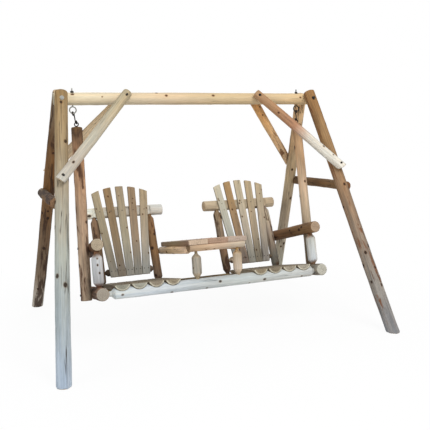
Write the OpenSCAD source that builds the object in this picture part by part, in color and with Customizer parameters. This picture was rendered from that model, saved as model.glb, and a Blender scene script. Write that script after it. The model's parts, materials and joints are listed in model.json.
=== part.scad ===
// Free-standing log yard swing: an A-frame stand of peeled poles carries a hanging
// bench with a chair at each side and a small table between them.
// Ground at z = 0, X along the header beam, -Y is the side the sitter faces.
// Left is -X, front is -Y.

/* [Stand] */
// Height of the header beam's centre line above the ground
beam_h = 2000; // [1960:10:2060]
// Diameter of the header beam
beam_d = 104; // [100:1:108]
// Half length of the header beam
beam_half = 1196; // [1185:1:1200]
// Diameter of the four legs
leg_d = 106; // [102:1:110]
// Distance of each leg from the middle of the beam, at beam height
leg_x = 1145; // [1135:5:1165]
// How far each foot splays outward from that distance at the ground
leg_splay = 208; // [180:4:228]
// Distance of each foot from the beam's vertical plane
foot_y = 1089; // [1050:3:1101]
// Height of the side cross rails
cross_h = 1195; // [1150:5:1210]
// Diameter of the side cross rails
cross_d = 84; // [78:1:88]
// Diameter of the knee braces
brace_d = 90; // [84:1:92]
// Height at which a knee brace crosses its leg
brace_leg_h = 1358; // [1340:2:1370]

/* [Hanging] */
// Distance of each hanging point from the middle of the beam
hang_x = 1043; // [1040:1:1046]
// Height of the upper swing axis, at the bottom wire of the eye bolts
pivot_h = 1883; // [1878:1:1886]
// Distance between the upper and the lower swing axis along the S hooks
link_l = 74; // [70:1:84]
// Backward lean of the bench as it hangs at rest
rest_tilt = 11.75; // [10:0.25:12.5]

/* [Bench] */
// Diameter of the left hanger post; the right one is 8 thinner
hanger_d = 92; // [90:1:93]
// Distance of the side rails and arms from the middle
side_x = 968; // [964:1:970]
// Diameter of the side rails
side_d = 104; // [100:1:106]
// Diameter of the armrests
arm_d = 102; // [98:1:103]
// Diameter of the front rail under the seats
front_d = 94; // [90:1:96]
// Diameter of the back posts
post_d = 76; // [72:1:78]
// Diameter of the upper back rails
top_rail_d = 100; // [96:1:101]
// Width of one back slat
slat_w = 71; // [66:0.5:71]
// Thickness of one back slat
slat_t = 20; // [18:1:22]
// Width of one half-log seat slat
seat_w = 132; // [124:2:134]
// Thickness of the table boards
board_t = 44; // [40:1:46]

/* [Hidden] */
$fn = 48;
pole_gap = 0.3; // between a pole and the notch around it
tenon_gap = 0.2; // between a tenon and its bore

// stand
leg_top_y = 102; // leg's distance from the beam's plane, at beam height
leg_run = foot_y - leg_top_y;
brace_off = 76; // brace axis to leg axis, square to the frame

// hanging hardware: radius of each wire, and of each eye to its wire centre
eye_r = 27;
eye_wire = 5;
ring_r = 16.5;
ring_wire = 4.5;
hook_wire = 5;

// bench frame: measured from the upper swing axis, before the bench leans
front_y = -205; // front rail
front_z = -1505;
rear_y = 362; // rear rail, foot of the chair backs
rear_z = -1510;
top_y = 530; // upper back rails
top_z = -800;
back_a = atan2(top_z - rear_z, top_y - rear_y);
back_l = norm([top_y - rear_y, top_z - rear_z]);
side_z = -1500;
hang_top = -118; // ends of the hanger posts
hang_bot = -1548;
post_in = 340; // inner and outer back posts from the middle
post_out = 857;
chair_x = 600; // middle of each chair back

// ---------- helpers ----------
// side is -1 left, 1 right; row is -1 front, 1 rear
function pick(sign, minus, plus) = sign < 0 ? minus : plus;
function unit(v) = v/norm(v);

// puts the child's Z axis on the line between two points
module along(from, to) {
  run = to - from;
  translate(from) rotate([0, acos(run[2]/norm(run)), atan2(run[1], run[0])]) children();
}
// points are [radius, z]
module turned(points) { rotate_extrude() polygon(points); }
// round pole with broken edges
module pole(length, radius, edge = 4) {
  turned([[0, 0], [radius - edge, 0], [radius, edge],
    [radius, length - edge], [radius - edge, length], [0, length]]);
}
// pole from start to end, with a turned tenon beyond each shoulder
module tenoned(start, end, shoulder_1, shoulder_2, radius, tenon_r, taper) {
  turned([[0, start], [tenon_r, start], [tenon_r, shoulder_1], [radius, shoulder_1 + taper],
    [radius, shoulder_2 - taper], [tenon_r, shoulder_2], [tenon_r, end], [0, end]]);
}

bolt_sink = 5; // depth of a bolt's seat below the pole's surface
brace_sink = 6;
lag_r = 5;
flange_h = 2.5;
// flanged hex-head lag bolt: seat at z = 0, shank along -Z
module lag(length) {
  translate([0, 0, -length]) cylinder(h = length + 1, r = lag_r);
  cylinder(h = flange_h, r = 13);
  translate([0, 0, flange_h]) cylinder(h = 6.5, r = 9, $fn = 6);
}
// clearance for that bolt: spot face above z = 0 and a pilot bore below
module lag_cut(length) {
  translate([0, 0, -length - 1]) cylinder(h = length + 2, r = lag_r + 0.15);
  cylinder(h = 60, r = 14.5);
}
screw_r = 2;
module screw(length) {
  translate([0, 0, -length]) cylinder(h = length + 0.5, r = screw_r);
  cylinder(h = 2, r = 4.5);
}
module screw_cut(length) {
  translate([0, 0, -length - 1]) cylinder(h = length + 3, r = screw_r + 0.1);
}

// hangs the bench frame from the upper swing axis, leaning about the lower one
module bench() {
  translate([0, 0, pivot_h - link_l]) rotate([-rest_tilt, 0, 0]) translate([0, 0, link_l])
    children();
}
// plane of the chair backs: Y runs up the posts, Z points forward
module back_plane() { translate([0, rear_y, rear_z]) rotate([back_a, 0, 0]) children(); }

// ---------- stand ----------
leg_root_z = -90; // poles start here and are cut off at the ground
function leg_pt(side, row, z) = [
  side*(leg_x + leg_splay*(beam_h - z)/beam_h),
  row*(leg_top_y + leg_run*(beam_h - z)/beam_h),
  z];
// the four legs are cut off at slightly different heights
function leg_top(side, row) =
  leg_pt(side, row, beam_h + pick(row, pick(side, 52, 60), pick(side, 67, 47)));
function leg_root(side, row) = leg_pt(side, row, leg_root_z);
// direction out of the A-frame, square to its legs
function leg_normal(row) = unit([0, row*beam_h, leg_run]);

module leg_axis(side, row) { along(leg_root(side, row), leg_top(side, row)) children(); }
module leg_gap(side, row) { leg_axis(side, row) cylinder(h = 2600, r = leg_d/2 + pole_gap); }
module beam_gap(over = 0) {
  translate([-beam_half - over, 0, beam_h]) rotate([0, 90, 0])
    cylinder(h = 2*beam_half + 2*over, r = beam_d/2 + pole_gap);
}

// header bolts: seats this far in front of and behind the beam's axis
header_seat = 150;
header_bolt_r = 6;
header_washer_r = 18;
header_washer_t = 3;
header_hex_r = 11;
header_nut_h = 10;
// Z points forward from the front seat
module header_bolt_axis(side) {
  translate([side*leg_x, -header_seat, beam_h]) rotate([90, 0, 0]) children();
}
module header_bore() { translate([0, 0, -330]) cylinder(h = 340, r = header_bolt_r + 0.3); }

cross_x = leg_pt(1, 1, cross_h)[0] + 50; // rails lie outside the legs' axes
module cross_bolt_axes(side) {
  for (row = [-1, 1])
    translate([side*(cross_x + cross_d/2 - bolt_sink),
        leg_pt(side, row, cross_h)[1] + pick(row, 20, 0), cross_h])
      rotate([0, side*90, 0]) children();
}

// only the rear left brace is a full-size pole
function brace_r(side, row) = brace_d/2 - pick(side, pick(row, 4, 0), 5);
function brace_low(side, row) = leg_pt(side, row, brace_leg_h) + brace_off*leg_normal(row);
function brace_high(side, row) =
  [side*pick(row, 611, 650), row*83, beam_h + pick(row, 29, -31)];
// upper bolt goes straight into the beam, lower bolt square into the leg
module brace_bolt_axes(side, row) {
  seat = brace_r(side, row) - brace_sink;
  far = 900; // any point further out
  high = brace_high(side, row);
  low = brace_low(side, row);
  along(high + [0, row*seat, 0], high + [0, row*far, 0]) children();
  along(low + seat*leg_normal(row), low + far*leg_normal(row)) children();
}

stand_bolt_l = 118;
brace_bore_l = 125;
cross_bore_l = 120;

module leg(side, row) {
  spot_h = 60;
  difference() {
    intersection() {
      leg_axis(side, row) rotate([0, 0, -side*row*78])
        pole(norm(leg_top(side, row) - leg_root(side, row)), leg_d/2, 5);
      translate([-3000, -3000, 0]) cube([6000, 6000, 3000]);
    }
    beam_gap(60);
    header_bolt_axis(side) {
      header_bore();
      translate([0, 0, pick(row, 0, -2*header_seat - spot_h)]) cylinder(h = spot_h, r = 20);
    }
    brace_bolt_axes(side, row) lag_cut(brace_bore_l);
    cross_bolt_axes(side) lag_cut(cross_bore_l);
  }
}
module leg_front_left() { color([0.66, 0.60, 0.50]) leg(-1, -1); }
module leg_front_right() { color([0.62, 0.47, 0.32]) leg(1, -1); }
module leg_rear_left() { color([0.40, 0.27, 0.17]) leg(-1, 1); }
module leg_rear_right() { color([0.50, 0.42, 0.33]) leg(1, 1); }

eye_nut_z = beam_h + beam_d/2 - 5; // spot face in the top of the beam
module header_beam() {
  color([0.85, 0.74, 0.55]) difference() {
    translate([-beam_half, 0, beam_h]) rotate([0, 90, 0]) pole(2*beam_half, beam_d/2);
    for (side = [-1, 1]) {
      header_bolt_axis(side) header_bore();
      translate([side*hang_x, 0, beam_h - 100]) cylinder(h = 200, r = eye_wire + 0.3);
      translate([side*hang_x, 0, eye_nut_z]) cylinder(h = 60, r = 22);
      for (row = [-1, 1]) brace_bolt_axes(side, row) lag_cut(brace_bore_l);
    }
  }
}

cross_front_y = -506;
cross_l = 1066;
module cross_rail(side) {
  difference() {
    translate([side*cross_x, 0, cross_h]) translate([0, cross_front_y, 0]) rotate([-90, 0, 0])
      pole(cross_l, cross_d/2, 2);
    for (row = [-1, 1]) leg_gap(side, row);
    cross_bolt_axes(side) lag_cut(cross_bore_l);
  }
}
module cross_rail_left() { color([0.36, 0.30, 0.24]) cross_rail(-1); }
module cross_rail_right() { color([0.42, 0.27, 0.16]) cross_rail(1); }

module knee_brace(side, row) {
  low = brace_low(side, row);
  high = brace_high(side, row);
  slope = unit(high - low);
  start = low - 110*slope;
  end = high + 32*slope;
  saw_back = side < 0 && row < 0 ? 36 : 28;
  saw_box = 240;
  difference() {
    along(start, end) pole(norm(end - start), brace_r(side, row));
    // lower end sawn square across the frame
    translate(low - saw_back*slope) rotate([0, side*147, 0])
      translate([-saw_box/2, -saw_box/2, 0]) cube([saw_box, saw_box, saw_box]);
    leg_gap(side, row);
    beam_gap();
    brace_bolt_axes(side, row) lag_cut(brace_bore_l);
  }
}
module knee_brace_front_left() { color([0.84, 0.80, 0.72]) knee_brace(-1, -1); }
module knee_brace_front_right() { color([0.88, 0.80, 0.68]) knee_brace(1, -1); }
module knee_brace_rear_left() { color([0.66, 0.45, 0.27]) knee_brace(-1, 1); }
module knee_brace_rear_right() { color([0.62, 0.42, 0.25]) knee_brace(1, 1); }

// long bolt through front leg, beam and rear leg, with its nut
module header_bolt() {
  translate([0, 0, -322]) cylinder(h = 323, r = header_bolt_r);
  cylinder(h = header_washer_t, r = header_washer_r);
  translate([0, 0, header_washer_t]) cylinder(h = 8, r = header_hex_r, $fn = 6);
  translate([0, 0, -2*header_seat - header_washer_t - header_nut_h]) difference() {
    union() {
      translate([0, 0, header_nut_h]) cylinder(h = header_washer_t, r = header_washer_r);
      cylinder(h = header_nut_h + 0.5, r = header_hex_r, $fn = 6);
    }
    translate([0, 0, -1]) cylinder(h = 20, r = header_bolt_r + 0.1);
  }
}
module header_bolts() {
  color([0.62, 0.62, 0.60]) for (side = [-1, 1]) header_bolt_axis(side) header_bolt();
}
module cross_rail_bolts() {
  color([0.15, 0.14, 0.13]) for (side = [-1, 1]) cross_bolt_axes(side) lag(stand_bolt_l);
}
module knee_brace_bolts() {
  color([0.15, 0.14, 0.13]) for (side = [-1, 1], row = [-1, 1])
    brace_bolt_axes(side, row) lag(stand_bolt_l);
}

// eye across the X axis, centred on the origin
module wire_eye(radius, wire) {
  rotate([90, 0, 0]) rotate_extrude() translate([radius, 0]) circle(r = wire);
}
module eye_bolts() {
  rod_top = beam_h + beam_d/2 + 36;
  color([0.45, 0.45, 0.43]) for (side = [-1, 1])
    translate([side*hang_x, 0, pivot_h + eye_r]) {
      wire_eye(eye_r, eye_wire);
      translate([0, 0, eye_r]) cylinder(h = rod_top - pivot_h - 2*eye_r, r = eye_wire);
    }
}
module eye_bolt_nuts() {
  color([0.16, 0.15, 0.14]) for (side = [-1, 1])
    translate([side*hang_x, 0, eye_nut_z]) difference() {
      union() {
        cylinder(h = 4, r = 20);
        translate([0, 0, 3.5]) cylinder(h = 15, r = 14, $fn = 6);
      }
      translate([0, 0, -1]) cylinder(h = 30, r = eye_wire + 0.1);
    }
}

// ---------- S hooks ----------
// the left hook has turned on its eyes, and its lower eye with it
function hook_turn(side) = pick(side, -28, 8);
function eye_x(side) = pick(side, -1021, 1041); // lower eyes
// distance of the hook's wire centre from the wire it bears on
function bearing(wire, side, upper) = wire + hook_wire + (side < 0 && upper ? 3 : 1.5);
// bend radius that clears that wire when turned
function bend_r(wire, side, upper) =
  bearing(wire, side, upper)/cos(hook_turn(side)) + pick(side, 2, 1);
upper_tip_a = 225;
lower_tip_a = 30;

module hook_bend(y, radius, start, sweep) {
  translate([0, y, 0]) rotate([0, 0, start]) rotate_extrude(angle = sweep)
    translate([radius, 0]) circle(r = hook_wire);
}
module s_hook(side) {
  upper_r = bend_r(eye_wire, side, true);
  lower_r = bend_r(ring_wire, side, false);
  inset = hang_x - abs(eye_x(side));
  reach = norm([link_l, inset]);
  upper_y = bearing(eye_wire, side, true) - upper_r;
  lower_y = lower_r - bearing(ring_wire, side, false) - reach;
  slant = asin((upper_r + lower_r)/(upper_y - lower_y));
  shank_top = [upper_r*cos(slant), upper_y - upper_r*sin(slant), 0];
  shank_bot = [-lower_r*cos(slant), lower_y + lower_r*sin(slant), 0];
  upper_tip = [upper_r*cos(upper_tip_a), upper_y + upper_r*sin(upper_tip_a), 0];
  lower_tip = [lower_r*cos(lower_tip_a), lower_y + lower_r*sin(lower_tip_a), 0];
  // X of this frame points back, Y up
  translate([side*hang_x, 0, pivot_h]) rotate([0, side*asin(inset/reach), 0])
    rotate([0, 0, hook_turn(side)]) rotate([90, 0, 90]) {
      hook_bend(upper_y, upper_r, -slant, upper_tip_a + slant);
      hook_bend(lower_y, lower_r, 180 - slant, 180 + lower_tip_a + slant);
      translate(shank_top) rotate([90, 0, 0]) rotate([0, -slant, 0])
        cylinder(h = (upper_y - lower_y)*cos(slant), r = hook_wire - 0.3);
      // forged swells where the bends meet the shank, and rounded tips
      for (p = [shank_top, shank_bot]) translate(p) sphere(r = hook_wire + 0.5);
      for (p = [upper_tip, lower_tip]) translate(p) sphere(r = hook_wire + 0.4);
    }
}
module s_hook_left() { color([0.10, 0.10, 0.10]) s_hook(-1); }
module s_hook_right() { color([0.10, 0.10, 0.10]) s_hook(1); }

// ---------- bench frame ----------
// ends of an arm's axis, for the right-hand side;
// the right-hand frame stands a little wider than the left-hand one
arm_rear = [936, 505, -1149];
function arm_front(side) = pick(side, [973, -235, -1107], [991, -235, -1114]);
function arm_at(side, y) = arm_front(side)
  + (arm_rear - arm_front(side))*(y - arm_front(side)[1])/(arm_rear[1] - arm_front(side)[1]);
function side_rail_x(side) = pick(side, -side_x, side_x + 16);

// the hanger posts lean a little sideways
function hanger_r(side) = hanger_d/2 - pick(side, 0, 4);
function hanger_foot_x(side) = pick(side, -1057, 1031);
function hanger_x(side, z) =
  eye_x(side) + (hanger_foot_x(side) - eye_x(side))*(z - hang_top)/(hang_bot - hang_top);
module hanger_axis(side) {
  along([hanger_foot_x(side), 0, hang_bot], [eye_x(side), 0, hang_top]) children();
}
module hanger_gap(side) {
  hanger_axis(side) cylinder(h = hang_top - hang_bot, r = hanger_r(side) + pole_gap);
}
module post_axis(x) { translate([x, 0, 0]) back_plane() rotate([-90, 0, 0]) children(); }
module post_gap(x, length, gap) { post_axis(x) cylinder(h = length, r = post_d/2 + gap); }
module arm_post_axis(side) { translate([side_rail_x(side), -135, 0]) children(); }

frame_bolt_l = 105;
frame_bore_l = 107;
table_bolt_l = 85;
table_bore_l = 87;
arm_bolt_y = 448;
// two through the hanger, one from the arm into the outer back post
module frame_bolt_axes(side) {
  arm_pt = arm_at(side, arm_bolt_y);
  for (z = [side_z, arm_at(side, 0)[2]])
    translate([hanger_x(side, z) + side*(hanger_r(side) - bolt_sink), 0, z])
      rotate([0, side*90, 0]) children();
  translate([side*(arm_pt[0] + arm_d/2 - bolt_sink), arm_bolt_y, arm_pt[2]])
    rotate([0, side*90, 0]) children();
}

module hanger_post(side) {
  difference() {
    hanger_axis(side) pole(hang_top - hang_bot, hanger_r(side), 3);
    translate([eye_x(side), 0, hang_top - 76]) cylinder(h = 80, r = ring_wire + tenon_gap);
    frame_bolt_axes(side) lag_cut(130);
  }
}
module hanger_post_left() { color([0.42, 0.24, 0.15]) bench() hanger_post(-1); }
module hanger_post_right() { color([0.78, 0.66, 0.48]) bench() hanger_post(1); }

// eye with its shank in the top of the post and a collar above it
module hanger_eyes() {
  eye_z = -link_l - ring_r;
  shank_z = hang_top - 72 - eye_z;
  color([0.13, 0.13, 0.12]) for (side = [-1, 1]) bench()
    translate([eye_x(side), 0, eye_z]) rotate([0, 0, pick(side, hook_turn(side), 0)]) {
      wire_eye(ring_r, ring_wire);
      translate([0, 0, shank_z]) cylinder(h = -shank_z - ring_r, r = ring_wire);
      translate([0, 0, hang_top - eye_z + 0.6]) cylinder(h = 2.5, r = 11);
    }
}
module bench_frame_bolts() {
  color([0.15, 0.14, 0.13]) bench() for (side = [-1, 1]) {
    frame_bolt_axes(side) lag(frame_bolt_l);
    table_bolt_axes(side) lag(table_bolt_l);
  }
}

post_tenon_r = 18; // arm posts and back posts
post_bore_r = post_tenon_r + tenon_gap;
front_tenon_r = 22;
rear_tenon_r = 20;
// bores for the front and rear rails: y, z, tenon radius
rail_joints = [[front_y, front_z, front_tenon_r], [rear_y, rear_z, rear_tenon_r]];
module side_rail(side) {
  difference() {
    translate([side_rail_x(side), -280, side_z]) rotate([-90, 0, 0]) pole(715, side_d/2, 3);
    hanger_gap(side);
    arm_post_axis(side) translate([0, 0, side_z + 10]) cylinder(h = 80, r = post_bore_r);
    for (joint = rail_joints)
      translate([side_rail_x(side) - side*14, joint[0], joint[1]]) rotate([0, -side*90, 0])
        cylinder(h = 90, r = joint[2] + tenon_gap);
    frame_bolt_axes(side) lag_cut(frame_bore_l);
  }
}
module side_rail_left() { color([0.50, 0.36, 0.26]) bench() side_rail(-1); }
module side_rail_right() { color([0.70, 0.62, 0.50]) bench() side_rail(1); }

module armrest(side) {
  start = arm_front(side);
  front = [side*start[0], start[1], start[2]];
  rear = [side*arm_rear[0], arm_rear[1], arm_rear[2]];
  difference() {
    along(front, rear) pole(norm(rear - front), arm_d/2, 2);
    hanger_gap(side);
    arm_post_axis(side) translate([0, 0, -1225]) cylinder(h = 95, r = post_bore_r);
    post_axis(side*post_out) translate([0, 0, 20]) cylinder(h = 680, r = post_d/2 + pole_gap);
    frame_bolt_axes(side) lag_cut(frame_bore_l);
  }
}
module armrest_left() { color([0.42, 0.24, 0.15]) bench() armrest(-1); }
module armrest_right() { color([0.45, 0.27, 0.17]) bench() armrest(1); }

// [radius, z]; tapered shoulders clear the round rail below and the arm above
arm_post_profile = [
  [0, -1489], [post_tenon_r, -1489], [post_tenon_r, -1446], [42, -1414], [43.5, -1400],
  [43.5, -1216], [40, -1204], [post_tenon_r, -1174], [post_tenon_r, -1132], [0, -1132]];
module arm_post(side) { arm_post_axis(side) turned(arm_post_profile); }
module arm_post_left() { color([0.86, 0.87, 0.90]) bench() arm_post(-1); }
module arm_post_right() { color([0.80, 0.83, 0.88]) bench() arm_post(1); }

// ---------- seats ----------
seat_top = -1440;
seat_dep = 50;
seat_xs = [405, 545, 685, 825]; // slat centres from the middle
seat_gap = 0.6;
seat_screw_l = 68;
seat_bore_l = 70;
// the left seat sits closer to the middle
function seat_x(side, x) = side*x + pick(side, 22, 0);

// half log with its flat side up at z = 0, running along +Y; a gap makes it a cutter
module half_log(length, width, depth, gap = 0) {
  round_r = (width*width/4 + depth*depth)/(2*depth);
  rotate([-90, 0, 0]) linear_extrude(length) intersection() {
    translate([0, -(round_r - depth)]) circle(r = round_r + gap, $fn = 72);
    translate([-width, gap > 0 ? -80 : 0]) square([2*width, 160]);
  }
}
module seat_pockets() {
  for (side = [-1, 1], x = seat_xs) translate([seat_x(side, x), -300, seat_top]) {
    half_log(760, seat_w, seat_dep, seat_gap);
    translate([-seat_w/2 - seat_gap, 0, -1]) cube([seat_w + 2*seat_gap, 760, 60]);
  }
}
module seat_screws() {
  for (side = [-1, 1], x = seat_xs) {
    inward = x < chair_x ? 18 : -18;
    translate([seat_x(side, x), front_y, seat_top]) children();
    translate([seat_x(side, x) + side*inward, rear_y - 10, seat_top]) children();
  }
}
// rail across the bench, tenoned into both side rails
module long_rail(y, z, radius, tenon_r, left_shoulder) {
  translate([0, y, z]) rotate([0, 90, 0])
    tenoned(side_rail_x(-1) + 15, side_rail_x(1) - 15, left_shoulder, 929, radius, tenon_r, 28);
}
module front_rail() {
  color([0.85, 0.88, 0.92]) bench() difference() {
    long_rail(front_y, front_z, front_d/2, front_tenon_r, -891);
    seat_pockets();
    for (side = [-1, 1]) table_leg_axis(side) translate([0, 0, -8])
      cylinder(h = 90, r = leg_foot_r + tenon_gap);
    seat_screws() screw_cut(seat_bore_l);
  }
}
module rear_rail() {
  color([0.45, 0.36, 0.28]) bench() difference() {
    long_rail(rear_y, rear_z, 42, rear_tenon_r, -913);
    seat_pockets();
    for (x = [-post_out, -post_in, post_in, post_out]) post_axis(x) {
      translate([0, 0, 12]) cylinder(h = 80, r = post_bore_r);
      translate([0, 0, 45]) cylinder(h = 80, r1 = 20, r2 = 60);
    }
    seat_screws() screw_cut(seat_bore_l);
  }
}
module seat_slats(side) {
  difference() {
    for (x = seat_xs) translate([seat_x(side, x), -251, seat_top])
      half_log(634, seat_w, seat_dep);
    for (x = [post_in, post_out]) post_gap(side*x, 200, 1);
    seat_screws() screw_cut(seat_bore_l);
  }
}
module seat_slats_left() { color([0.62, 0.52, 0.38]) bench() seat_slats(-1); }
module seat_slats_right() { color([0.60, 0.46, 0.30]) bench() seat_slats(1); }

// ---------- chair backs ----------
flat_z = 27; // plane behind the slats, in front of the posts' axes
lower_rail_y = 167; // up the back, as are the slat heights
lower_tenon_r = 14;
slat_bot = 114;
slat_arc = 590; // radius of the rounded top of the fan
slat_top = 970;
slat_pitch_bot = 72;
slat_pitch_top = 116;
slat_spread = (slat_pitch_top - slat_pitch_bot)/(slat_top - slat_bot);
slat_screw_l = 38;
slat_bore_l = 40;

module back_post(side, outer) {
  x = side*(outer ? post_out : post_in);
  inward = side*(outer ? -1 : 1); // toward the middle of the chair
  difference() {
    post_axis(x) tenoned(13.5, back_l - 14, 47, back_l - 52, post_d/2, post_tenon_r, 38);
    // hewn flat behind the slats
    translate([x - 60, 0, 0]) back_plane() translate([0, 520, flat_z - 0.4])
      cube([120, 180, 60]);
    // mortise for the lower rail
    translate([x + inward*13, 0, 0]) back_plane() translate([0, lower_rail_y, 0])
      rotate([0, inward*90, 0]) cylinder(h = 60, r = lower_tenon_r + tenon_gap);
    frame_bolt_axes(side) lag_cut(frame_bore_l);
    table_bolt_axes(side) lag_cut(table_bore_l);
  }
}
module back_post_left_outer() { color([0.40, 0.26, 0.17]) bench() back_post(-1, true); }
module back_post_left_inner() { color([0.52, 0.31, 0.18]) bench() back_post(-1, false); }
module back_post_right_inner() { color([0.38, 0.22, 0.14]) bench() back_post(1, false); }
module back_post_right_outer() { color([0.46, 0.38, 0.30]) bench() back_post(1, true); }

// cuts a flat for the slats on a back rail
module slat_flat(side, y, half_w) {
  back_plane() translate([side*chair_x - half_w, y - 60, flat_z]) cube([2*half_w, 120, 40]);
}
module upper_back_rail(side) {
  difference() {
    back_plane() translate([side*212, back_l, 0]) rotate([0, side*90, 0])
      pole(750, top_rail_d/2);
    for (x = [post_in, post_out]) post_axis(side*x) translate([0, 0, back_l - 90])
      cylinder(h = 78, r = post_bore_r);
    slat_flat(side, back_l, 268);
    slat_screws(side) screw_cut(slat_bore_l);
  }
}
module upper_back_rail_left() { color([0.80, 0.79, 0.76]) bench() upper_back_rail(-1); }
module upper_back_rail_right() { color([0.74, 0.60, 0.42]) bench() upper_back_rail(1); }

module lower_back_rail(side) {
  end = (post_out - post_in)/2 - 14;
  shoulder = (post_out - post_in)/2 - post_d/2 - 1;
  difference() {
    back_plane() translate([side*(post_in + post_out)/2, lower_rail_y, 0]) rotate([0, 90, 0])
      tenoned(-end, end, -shoulder, shoulder, 31, lower_tenon_r, 18);
    slat_flat(side, lower_rail_y, 190);
    slat_screws(side) screw_cut(slat_bore_l);
  }
}
module lower_back_rail_left() { color([0.34, 0.26, 0.20]) bench() lower_back_rail(-1); }
module lower_back_rail_right() { color([0.42, 0.33, 0.25]) bench() lower_back_rail(1); }

// fan of slats: 1 is the leftmost of each chair
function slat_x(i, y) = (i - 3)*(slat_pitch_bot + (y - slat_bot)*slat_spread);
function slat_angle(i) = -atan((i - 3)*slat_spread);
// two screws into the lower rail, one into the upper: height, sideways offset
slat_fixings = [[lower_rail_y, -18], [lower_rail_y, 18], [back_l, 0]];
module slat_screws(side) {
  for (i = [1:5], fix = slat_fixings)
    back_plane()
      translate([side*chair_x + slat_x(i, fix[0]) + fix[1], fix[0], flat_z + slat_t])
        children();
}
module back_slat(side, i) {
  difference() {
    back_plane() translate([0, 0, flat_z]) linear_extrude(slat_t) intersection() {
      translate([side*chair_x + slat_x(i, slat_bot), slat_bot]) rotate(slat_angle(i))
        translate([-slat_w/2, -80]) square([slat_w, 1100]);
      translate([side*chair_x - 400, slat_bot]) square([800, 1000]);
      translate([side*chair_x, slat_top - slat_arc]) circle(r = slat_arc, $fn = 160);
    }
    slat_screws(side) screw_cut(slat_bore_l);
  }
}
module back_slat_left_1() { color([0.68, 0.62, 0.50]) bench() back_slat(-1, 1); }
module back_slat_left_2() { color([0.66, 0.49, 0.33]) bench() back_slat(-1, 2); }
module back_slat_left_3() { color([0.70, 0.63, 0.50]) bench() back_slat(-1, 3); }
module back_slat_left_4() { color([0.69, 0.54, 0.42]) bench() back_slat(-1, 4); }
module back_slat_left_5() { color([0.72, 0.66, 0.54]) bench() back_slat(-1, 5); }
module back_slat_right_1() { color([0.58, 0.56, 0.46]) bench() back_slat(1, 1); }
module back_slat_right_2() { color([0.70, 0.42, 0.22]) bench() back_slat(1, 2); }
module back_slat_right_3() { color([0.66, 0.60, 0.50]) bench() back_slat(1, 3); }
module back_slat_right_4() { color([0.70, 0.63, 0.50]) bench() back_slat(1, 4); }
module back_slat_right_5() { color([0.66, 0.59, 0.48]) bench() back_slat(1, 5); }

// ---------- table ----------
// the table's own frame: origin at its front edge, on top of the boards
table_x = 22;
table_y = -290;
table_z = -1139;
table_tilt = 2;
table_turn = 1.7;
table_l = 770;
board_w = 175;
board_pitch = 176;
apron_y = 54;
batten_y = 640;
batten_tenon_r = 11;
rail_front_x = 235; // the side rails flare toward the rear
rail_rear_x = 272;
rail_drop = board_t + 34.5;
rail_tenon_r = 12;
rail_flare = (rail_rear_x - rail_front_x)/(table_l - 100);
table_bolt_y = 727;
table_bolt_drop = 78;
table_bolt_x = rail_front_x + rail_flare*(table_bolt_y - 100) - 29;
leg_foot_r = 15; // table leg tenons
leg_head_r = 13;
table_screw_l = 68;
table_screw_bore_l = 70;

// the table sits a little to the right and is turned slightly
module table() {
  translate([table_x, table_y, table_z]) rotate([table_tilt, 0, 0])
    rotate([0, 0, table_turn]) children();
}
// from the table's side rail into the inner back post
module table_bolt_axes(side) {
  translate([side*table_bolt_x,
      table_y + table_bolt_y*cos(table_tilt) + table_bolt_drop*sin(table_tilt),
      table_z + table_bolt_y*sin(table_tilt) - table_bolt_drop*cos(table_tilt)])
    rotate([0, -side*90, 0]) children();
}
module table_leg_axis(side) {
  x = table_x + side*186;
  along([x, front_y, front_z + 20], [x, table_y + apron_y, table_z - board_t - 20])
    children();
}
module side_rail_axis(side) {
  table()
    along([side*rail_front_x, 112, -rail_drop], [side*rail_rear_x, table_l, -rail_drop])
      children();
}
module batten_axis() {
  table() translate([0, batten_y, -board_t - 31]) rotate([0, 90, 0]) children();
}
module table_screws() {
  table() for (k = [-1, 0, 1], j = [-1, 1]) {
    translate([k*board_pitch + j*50, apron_y, 0]) children();
    translate([k*146 + j*50, batten_y, 0]) children();
  }
}

// k is -1 left, 0 middle, 1 right
module table_board(k) {
  difference() {
    table() translate([k*board_pitch - board_w/2, 0, -board_t])
      cube([board_w, table_l, board_t]);
    table_screws() screw_cut(table_screw_bore_l);
  }
}
module table_board_left() { color([0.80, 0.66, 0.50]) bench() table_board(-1); }
module table_board_middle() { color([0.78, 0.52, 0.40]) bench() table_board(0); }
module table_board_right() { color([0.82, 0.60, 0.48]) bench() table_board(1); }

module table_front_apron() {
  color([0.86, 0.68, 0.46]) bench() difference() {
    table() translate([-253, apron_y, -board_t - pole_gap]) rotate([0, 0, -90])
      half_log(505, 104, 54);
    for (side = [-1, 1]) {
      table_leg_axis(side) translate([0, 0, 232])
        cylinder(h = 60, r = leg_head_r + tenon_gap);
      side_rail_axis(side) translate([0, 0, -32])
        cylinder(h = 60, r = rail_tenon_r + tenon_gap);
    }
    table_screws() screw_cut(table_screw_bore_l);
  }
}

// [radius, distance along the rail], tenon at the front
table_rail_profile = [[0, -30], [rail_tenon_r, -30], [rail_tenon_r, 0], [30, 0],
  [34, 5], [34, 645], [28, 659], [0, 659]];
module table_side_rail(side) {
  difference() {
    side_rail_axis(side) turned(table_rail_profile);
    post_gap(side*post_in, 650, pole_gap);
    batten_axis() cylinder(h = 480, r = batten_tenon_r + tenon_gap, center = true);
    table_bolt_axes(side) lag_cut(table_bore_l);
    table_screws() screw_cut(table_screw_bore_l);
  }
}
module table_side_rail_left() { color([0.72, 0.50, 0.30]) bench() table_side_rail(-1); }
module table_side_rail_right() { color([0.68, 0.47, 0.29]) bench() table_side_rail(1); }
module table_rear_batten() {
  color([0.66, 0.48, 0.32]) bench() difference() {
    batten_axis() tenoned(-238, 238, -226, 226, 30, batten_tenon_r, 16);
    table_screws() screw_cut(table_screw_bore_l);
  }
}

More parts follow.
